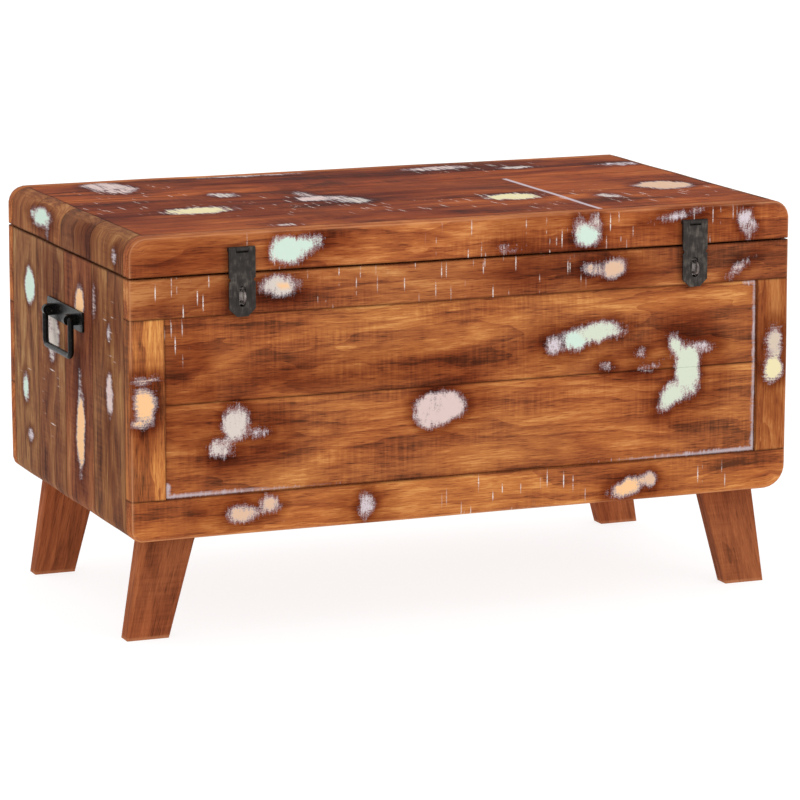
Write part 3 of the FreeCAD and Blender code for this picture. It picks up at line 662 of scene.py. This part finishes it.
# Back: three boards over the whole length, glued edge to edge and worn like the front.
board("back_board_1", "chest", 0, BACK,
      patches=((150, 140, 60, 20, 0, PEACH), (480, 160, 30, 34, 0, MINT)),
      marks=((260, 150, 90, 40), (610, 150, 60, 40)), stains=((170, 150, 120, 50), (500, 150, 120, 60)))
board("back_board_2", "chest", 0, BACK, tint=(0.9, 0.9, 0.95),
      patches=((230, 245, 70, 24, 4, WHITE), (560, 232, 24, 40, 0, CREAM)),
      marks=((330, 240, 90, 40), (90, 240, 60, 40)), stains=((230, 240, 140, 60), (560, 240, 90, 60)))
board("back_board_3", "chest", 0, BACK,
      patches=((90, 318, 34, 26, 0, CREAM), (400, 322, 52, 18, 0, PINK)),
      marks=((180, 320, 110, 40), (600, 315, 80, 40)), stains=((380, 320, 140, 50), (90, 320, 80, 50)))

# Ends: upright planks glued edge to edge between the front frame and the back boards, each from a
# different old board, so their browns differ. Their feet are rounded over with the bottom.
COOL_BROWN = (0.66, 0.86, 1.12)
RED_BROWN = (0.62, 0.66, 0.90)
left_paint = (
    (324, 307, 34, 36, 0, MINT), (157, 311, 28, 42, 0, CREAM), (252, 271, 52, 38, 0, WHITE),
    (252, 247, 20, 14, 0, WHITE), (344, 199, 20, 26, 0, MINT), (158, 186, 26, 78, 4, CREAM),
    (160, 222, 10, 34, 0, WHITE), (65, 238, 20, 40, 0, PINK), (64, 300, 8, 14, 0, LAVENDER),
    (110, 318, 6, 22, 0, CREAM), (330, 150, 14, 12, 0, LAVENDER))
left_marks = ((256, 205, 40, 60), (344, 230, 24, 24), (60, 300, 24, 40))
left_stains = ((110, 300, 40, 90), (60, 300, 50, 80), (250, 330, 80, 50), (160, 240, 50, 60),
               (70, 180, 60, 60))
right_paint = (
    (70, 300, 26, 46, 0, CREAM), (150, 190, 24, 70, 0, MINT), (250, 310, 46, 24, 0, WHITE),
    (330, 220, 24, 60, 0, PINK), (230, 160, 20, 24, 0, PEACH))
right_marks = ((90, 200, 70, 90), (240, 230, 90, 90), (330, 310, 60, 50))
right_stains = ((80, 240, 70, 120), (240, 300, 90, 60), (330, 160, 80, 90))
side_tints = (COOL_BROWN, RED_BROWN, (0.56, 0.70, 1.02), (0.62, 0.84, 1.20))
for number, tint in enumerate(side_tints, 1):
    for side, facing, paint, marks, stains in (("left", LEFT, left_paint, left_marks, left_stains),
                                               ("right", RIGHT, right_paint, right_marks, right_stains)):
        node = f"{side}_side_plank_{number}"
        low = mm_box(node)[0]
        low[2] = body_low[2]
        board(node, "chest", 2, facing, low=low, tint=tint, patches=paint, marks=marks, stains=stains)

# Bottom: three old boards along the chest, let in between the walls, with next to no paint left.
for number, tint in enumerate(((0.95, 1.0, 1.1), (0.88, 0.9, 1.0), (1.0, 1.0, 1.0)), 1):
    board(f"bottom_board_{number}", "chest", 0, UNDER, tint=tint)

# Lid: a shallow frame with short upright planks at its ends, filled flush on top with boards along its
# length. The front two rows are each made of two lengths butted together, and the gap is stopped pale.
board("lid_front_rail", "lid", 0, FRONT, tint=(0.92, 0.86, 0.92), patches=(
    (160, 380, 36, 28, 0, MINT), (178, 384, 32, 17, 12, MINT), (476, 377, 28, 22, 0, MINT),
    (466, 388, 7, 14, 0, WHITE), (485, 389, 7, 16, 0, WHITE), (577, 392, 32, 6, 8, LAVENDER),
    (653, 379, 17, 28, 8, LAVENDER), (392, 369, 14, 5, 0, LAVENDER)),
    marks=((140, 382, 30, 30), (355, 380, 60, 30), (450, 375, 90, 36), (510, 385, 30, 30),
           (615, 380, 40, 26)),
    stains=((60, 375, 80, 30), (445, 380, 110, 40), (600, 382, 80, 40), (200, 380, 50, 30)))
board("lid_back_rail", "lid", 0, BACK,
      patches=((200, 382, 60, 18, 0, MINT), (500, 380, 40, 20, 0, CREAM)),
      marks=((330, 380, 120, 30),), stains=((350, 380, 160, 40),))

lid_left_paint = ((282, 383, 62, 19, 0, MINT), (45, 377, 12, 12, 0, LAVENDER),
                  (262, 372, 10, 12, 0, LAVENDER))
lid_right_paint = ((120, 382, 40, 18, 0, CREAM), (300, 380, 20, 22, 0, MINT))
lid_end_stains = ((140, 380, 60, 40), (40, 375, 50, 40), (260, 372, 50, 30))
lid_end_tints = ((0.62, 0.78, 1.0), (0.54, 0.64, 0.9), (0.68, 0.76, 0.96), (0.60, 0.66, 0.86))
for number, tint in enumerate(lid_end_tints, 1):
    for side, facing, paint in (("left", LEFT, lid_left_paint), ("right", RIGHT, lid_right_paint)):
        board(f"lid_{side}_end_plank_{number}", "lid", 2, facing, tint=tint, patches=paint,
              stains=lid_end_stains)

lid_paint = (
    (94, 342, 44, 78, 6, PINK), (258, 383, 88, 15, 0, PINK), (266, 192, 48, 34, 0, PINK),
    (292, 166, 30, 40, 0, WHITE), (262, 220, 10, 30, 0, WHITE), (123, 153, 70, 40, 0, YELLOW),
    (463, 359, 60, 25, 0, PINK), (545, 334, 34, 14, 0, WHITE), (453, 129, 58, 38, 0, YELLOW),
    (633, 152, 60, 54, 0, PEACH), (662, 322, 38, 16, 0, LAVENDER), (184, 250, 26, 30, 0, WHITE),
    (545, 100, 20, 26, 0, WHITE), (170, 30, 22, 12, 0, WHITE))
lid_marks = ((200, 160, 150, 120), (310, 130, 160, 120), (440, 100, 120, 120), (560, 110, 100, 120),
             (640, 110, 90, 90), (110, 310, 110, 110), (500, 350, 130, 60), (60, 200, 80, 80))
lid_stains = ((180, 200, 300, 60), (330, 340, 260, 60), (560, 330, 200, 80), (60, 120, 120, 120),
              (380, 60, 300, 40), (130, 110, 150, 40), (320, 160, 160, 90))
# The top boards' tints make them redder, which is their own colour, and darker, which is painted shade on
# the top
lid_top_tints_and_shade = {"1_left": (0.69, 0.46, 0.34), "1_right": (0.78, 0.54, 0.38), "2_left": (0.62, 0.40, 0.30),
             "2_right": (0.70, 0.46, 0.34), "3": (0.74, 0.48, 0.34), "4": (0.64, 0.42, 0.30)}
# The lid's saw cuts lean a little and its paint is torn into long teeth, so the top looks combed.
lid_boards = timber("reclaimed acacia, sanded along and sawn askew", WORN_BROWNS, 1.0,
                    7 * MM, 100 * MM, 0.12, 40 * MM, 16.0)
LID_PAINT_SOFTNESS = 1.4
butt_joint = mm_box("lid_top_board_1_left")[1][0]
for place, tint in lid_top_tints_and_shade.items():
    board(f"lid_top_board_{place}", "lid", 0, TOP, tint=tint, patches=lid_paint, marks=lid_marks,
          stains=lid_stains, softness=LID_PAINT_SOFTNESS, timber_used=lid_boards,
          filler_x=butt_joint if place[1:] else None)

# Legs: four flat planks of newer acacia, splayed along the chest and flared where they meet the
# bottom, with their long edges rounded by sandpaper. They were never painted.
FOOT_WIDTH = 43.5
LEG_TOP_OUTER = 21.0
FLARE_HEIGHT = 10.0
FLARE_REACH = 2.0
LEG_ARRIS = 2.0
RUBBED_FOOT = 4.0
# New acacia is an even red brown with soft stripes down the leg.
leg_wood = timber("new acacia, sanded and oiled", (
    (0.24, "#B8724A"), (0.42, "#A05E3A"), (0.62, "#864A2E"), (0.85, "#5E3420")), 0.85)
for place in ("front_left", "back_left", "front_right", "back_right"):
    node = place + "_leg"
    low, high = mm_box(node)
    sign = 1 if low[0] < 0 else -1
    chest_end = body_low[0] if sign > 0 else body_high[0]
    foot_outer, top_inner = sorted(abs(chest_end - x) for x in (low[0], high[0]))
    plank_low = np.array([0.0, low[1], low[2]])
    plank_high = np.array([FOOT_WIDTH, high[1], high[2]])
    points, faces = box_of_quads([lines_across(a, b) for a, b in zip(plank_low, plank_high)])
    ease_arrises(points, plank_low, plank_high, radius=LEG_ARRIS, edges=((0, 1),))
    ease_arrises(points, plank_low, plank_high, edges=((0, 2), (1, 2)))
    climb = points[:, 2] / high[2]
    flare = np.clip((points[:, 2] - high[2] + FLARE_HEIGHT) / FLARE_HEIGHT, 0, 1)
    outer_edge = foot_outer + (LEG_TOP_OUTER - foot_outer) * climb
    inner_edge = foot_outer + FOOT_WIDTH + (top_inner - FLARE_REACH - foot_outer - FOOT_WIDTH) * climb
    inner_edge += FLARE_REACH * flare ** 2
    from_end = outer_edge + (inner_edge - outer_edge) * points[:, 0] / FOOT_WIDTH
    points[:, 0] = chest_end + sign * from_end
    lean = (LEG_TOP_OUTER - foot_outer + top_inner - FOOT_WIDTH - foot_outer) / 2 / high[2]
    upright = points - (sign * lean * points[:, 2])[:, None] * (1, 0, 0)
    grain = grain_of(node, upright, (low + high) / 2, 2, 1)
    rubbed = np.clip(1 - points[:, [2]] / RUBBED_FOOT, 0, 0.4)
    piece = make_piece(node + "_wood", points, faces if sign > 0 else faces[:, ::-1], leg_wood, {
        "grain": grain,
        "tint": np.ones((len(points), 4)),
        "sanded": rubbed,
        "joint_shade": np.zeros((len(points), 1)),
    })
    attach(piece, "chest")
    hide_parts(node)

# Hasps: a fixed leaf screwed to the lid, a strap with a slot, and a staple that stands through it, of
# mild steel sheet and rod blackened with oil over heat. The staple is lighter: rubbed half bare by the
# strap, and a painted highlight too.


def blackened_steel(name, colours):
    """Steel under matt scale, blotchy at 8 mm, that shows lighter grey where it is rubbed."""
    material, tree, shader = new_material(name)
    place = add(tree, "TexCoord").outputs["Object"]
    blotch = add(tree, "TexNoise", {"Vector": place, "Scale": 130.0, "Detail": 4.0})
    scratch_at = add(tree, "VectorMath", {0: place, 1: (700.0, 700.0, 120.0)}, operation="MULTIPLY")
    scratch = add(tree, "TexNoise", {"Vector": scratch_at.outputs[0], "Scale": 1.0, "Detail": 2.0})
    mixed = add(tree, "Math", {0: scratch.outputs["Fac"], 1: 0.5, 2: blotch.outputs["Fac"]},
                operation="MULTIPLY_ADD")
    scale = add(tree, "ValToRGB", {"Fac": mixed.outputs[0]}, stops=colours)
    tree.links.new(scale.outputs["Color"], shader.inputs["Base Color"])
    shader.inputs["Metallic"].default_value = 0.85
    rough = add(tree, "MapRange", {"Value": blotch.outputs["Fac"], "To Min": 0.36, "To Max": 0.68})
    tree.links.new(rough.outputs[0], shader.inputs["Roughness"])
    dents = add(tree, "Bump", {"Height": mixed.outputs[0], "Strength": 0.35, "Distance": 0.2 * MM})
    tree.links.new(dents.outputs["Normal"], shader.inputs["Normal"])
    return material


steel = blackened_steel("mild steel, oil blackened", (
    (0.55, "#2C2825"), (0.76, "#383330"), (0.88, "#4C4641"), (1.0, "#615953")))
# The staples' lighter steel: bare where the strap rubs, and a painted highlight that makes the loop stand
# out
rubbed_and_highlit_steel = blackened_steel("mild steel, blackened, rubbed bare, painted highlight", (
    (0.55, "#5A5350"), (0.76, "#7C736F"), (0.88, "#958C87"), (1.0, "#A8A09A")))


def dress(node, material, bevel=0.35 * MM):
    """Keeps an ironwork node's own shape, breaks its sharp edges and gives it its finish."""
    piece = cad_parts[node]
    weld = piece.modifiers.new("weld", "WELD")
    weld.merge_threshold = 0.002 * MM
    flats = piece.modifiers.new("flats", "DECIMATE")
    flats.decimate_type = "DISSOLVE"
    flats.angle_limit = math.radians(1.0)
    broken = piece.modifiers.new("broken edges", "BEVEL")
    broken.width = bevel
    broken.segments = 2
    broken.limit_method = "ANGLE"
    broken.angle_limit = math.radians(40.0)
    evened = piece.modifiers.new("evened shading", "WEIGHTED_NORMAL")
    evened.keep_sharp = False
    piece.data.shade_smooth()
    piece.data.materials.clear()
    piece.data.materials.append(material)


for side in ("left", "right"):
    for part, finish in (("leaf", steel), ("strap", steel), ("staple", rubbed_and_highlit_steel)):
        dress(f"{side}_hasp_{part}", finish)
dress("hasp_pins", steel)

# Hinges: two butt hinges of the same blackened steel, let into the seam, with their knuckles behind.
for side in ("left", "right"):
    dress(f"{side}_hinge_body_leaf", steel, 0.15 * MM)
    dress(f"{side}_hinge_lid_leaf", steel, 0.15 * MM)
dress("hinge_pins", steel, 0.3 * MM)

# Drop handles: a steel plate with two riveted lugs and a bail of bent rod, under black enamel that
# the hand has worn on the corners.
enamel, tree, shader = new_material("steel rod and plate, black enamelled")
place = add(tree, "TexCoord").outputs["Object"]
wear = add(tree, "TexNoise", {"Vector": place, "Scale": 260.0, "Detail": 3.0})
# Enamel is glossy with a slight orange peel 3 mm across, and chips show as small pale specks.
chips = add(tree, "ValToRGB", {"Fac": wear.outputs["Fac"]}, stops=(
    (0.50, "#0E0D0C"), (0.66, "#171514"), (0.72, "#4C4946"), (0.78, "#8C8985")))
tree.links.new(chips.outputs["Color"], shader.inputs["Base Color"])
gloss = add(tree, "MapRange", {"Value": wear.outputs["Fac"], "To Min": 0.18, "To Max": 0.4})
tree.links.new(gloss.outputs[0], shader.inputs["Roughness"])
shader.inputs["Specular IOR Level"].default_value = 0.12
peel = add(tree, "Bump", {"Height": wear.outputs["Fac"], "Strength": 0.3, "Distance": 0.2 * MM})
tree.links.new(peel.outputs["Normal"], shader.inputs["Normal"])
for side in ("left", "right"):
    dress(f"{side}_handle_plate", enamel, 0.5 * MM)
    dress(f"{side}_handle_bail", enamel, 0.3 * MM)

# Screws: countersunk slotted wood screws. Those of the ironwork are black like it, and those down
# into the legs are zinc plated, with slightly domed heads.
zinc, tree, shader = new_material("steel, bright zinc plated")
# Zinc plate is a bright bluish grey, clouded at about 3 mm.
place = add(tree, "TexCoord").outputs["Object"]
cloud = add(tree, "TexNoise", {"Vector": place, "Scale": 350.0, "Detail": 2.0})
plated = add(tree, "ValToRGB", {"Fac": cloud.outputs["Fac"]}, stops=((0.3, "#A9ADB0"), (0.7, "#C4C7C9")))
tree.links.new(plated.outputs["Color"], shader.inputs["Base Color"])
shader.inputs["Metallic"].default_value = 1.0
shader.inputs["Roughness"].default_value = 0.35
# A slot's width, length and depth, in parts of its head's radius
SLOT_WIDTH = 0.32
SLOT_LENGTH = 1.6
SLOT_DEPTH = 0.25


def screws(name, node, body, material, places, head_radius, shank_radius, length, dome):
    """Slotted screws as one piece. Each place is the middle of a head and the way the head looks."""
    cone = head_radius - shank_radius
    slot_wall = (SLOT_WIDTH / 2 - 0.01, SLOT_WIDTH / 2 + 0.01)
    half = np.array([*slot_wall, 0.45, 0.75, 1.0]) * head_radius
    across = np.concatenate([-half[::-1], half])
    stem, faces = box_of_quads([across, across, [-length, -2 * cone, -cone, 0.0]])
    sides = to_round(stem[:, :2])
    off_axis = np.linalg.norm(sides, axis=1) / head_radius
    head = stem[:, 2] == 0
    slot = head & (abs(stem[:, 0]) < SLOT_WIDTH / 2 * head_radius)
    slot &= abs(stem[:, 1]) < SLOT_LENGTH / 2 * head_radius
    height = np.where(head, dome * (1 - off_axis ** 2), stem[:, 2]) - SLOT_DEPTH * head_radius * slot
    narrow = np.where(head, 1.0, shank_radius / head_radius)
    shape = np.column_stack([sides * narrow[:, None], height])
    points = []
    for at, looks in places:
        turn = np.array(Vector(looks).to_track_quat("Z", "Y").to_matrix())
        points.append(shape @ turn.T + at)
    every = np.concatenate([faces + i * len(stem) for i in range(len(places))])
    piece = make_piece(name, np.concatenate(points), every, material, {})
    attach(piece, body)
    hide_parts(node)


HASP_SCREW_HEIGHT = 7.0
STAPLE_SCREW_INSET = 4.0
HINGE_SCREW_PITCH = 20.0
HINGE_LEAF_GAP = 0.3
HANDLE_SCREW_INSET = 7.0
HANDLE_PLATE = 2.0
STEEL_SHEET = 1.5
chest_places = []
lid_places = []
for side in ("left", "right"):
    leaf_low, leaf_high = mm_box(f"{side}_hasp_leaf")
    middle = (leaf_low[0] + leaf_high[0]) / 2
    plate_y = body_low[1] - STEEL_SHEET
    for offset in (-0.25, 0.25):
        lid_places.append(((middle + offset * (leaf_high[0] - leaf_low[0]), plate_y,
                            leaf_low[2] + HASP_SCREW_HEIGHT), (0, -1, 0)))
    staple_low, staple_high = mm_box(f"{side}_hasp_staple")
    for height in (staple_low[2] + STAPLE_SCREW_INSET, staple_high[2] - STAPLE_SCREW_INSET):
        chest_places.append(((middle, plate_y, height), (0, -1, 0)))
    hinge_low, hinge_high = mm_box(f"{side}_hinge_body_leaf")
    seam = (body_high[2] + lid_low[2]) / 2
    hinge_y = (hinge_low[1] + body_high[1]) / 2
    for offset in (-HINGE_SCREW_PITCH, 0, HINGE_SCREW_PITCH):
        hinge_x = (hinge_low[0] + hinge_high[0]) / 2 + offset
        chest_places.append(((hinge_x, hinge_y, seam - HINGE_LEAF_GAP / 2), (0, 0, 1)))
        lid_places.append(((hinge_x, hinge_y, seam + HINGE_LEAF_GAP / 2), (0, 0, -1)))
    plate_low, plate_high = mm_box(f"{side}_handle_plate")
    outward = -1 if side == "left" else 1
    face_x = (body_low if side == "left" else body_high)[0] + outward * HANDLE_PLATE
    for y in (plate_low[1] + HANDLE_SCREW_INSET, plate_high[1] - HANDLE_SCREW_INSET):
        chest_places.append(((face_x, y, (plate_low[2] + plate_high[2]) / 2), (outward, 0, 0)))
ironwork_screw = {"head_radius": 3.0, "shank_radius": 1.5, "length": 14.0, "dome": 0.0}
screws("ironwork_screws_chest", "chest_hardware_screws", "chest", enamel, chest_places, **ironwork_screw)
screws("ironwork_screws_lid", "lid_hardware_screws", "lid", steel, lid_places, **ironwork_screw)

LEG_SCREW_INSETS = (38.0, 60.0)
LEG_SCREW_RISE = 0.3
leg_places = []
inside_floor = mm_box("bottom_board_1")[1][2]
for place in ("front_left", "back_left", "front_right", "back_right"):
    low, high = mm_box(place + "_leg")
    for inset in LEG_SCREW_INSETS:
        x = body_low[0] + inset if low[0] < 0 else body_high[0] - inset
        leg_places.append(((x, (low[1] + high[1]) / 2, inside_floor + LEG_SCREW_RISE), (0, 0, 1)))
leg_screw = {"head_radius": 5.0, "shank_radius": 2.5, "length": 60.0, "dome": 0.8}
screws("leg_screws_zinc", "leg_screws", "chest", zinc, leg_places, **leg_screw)
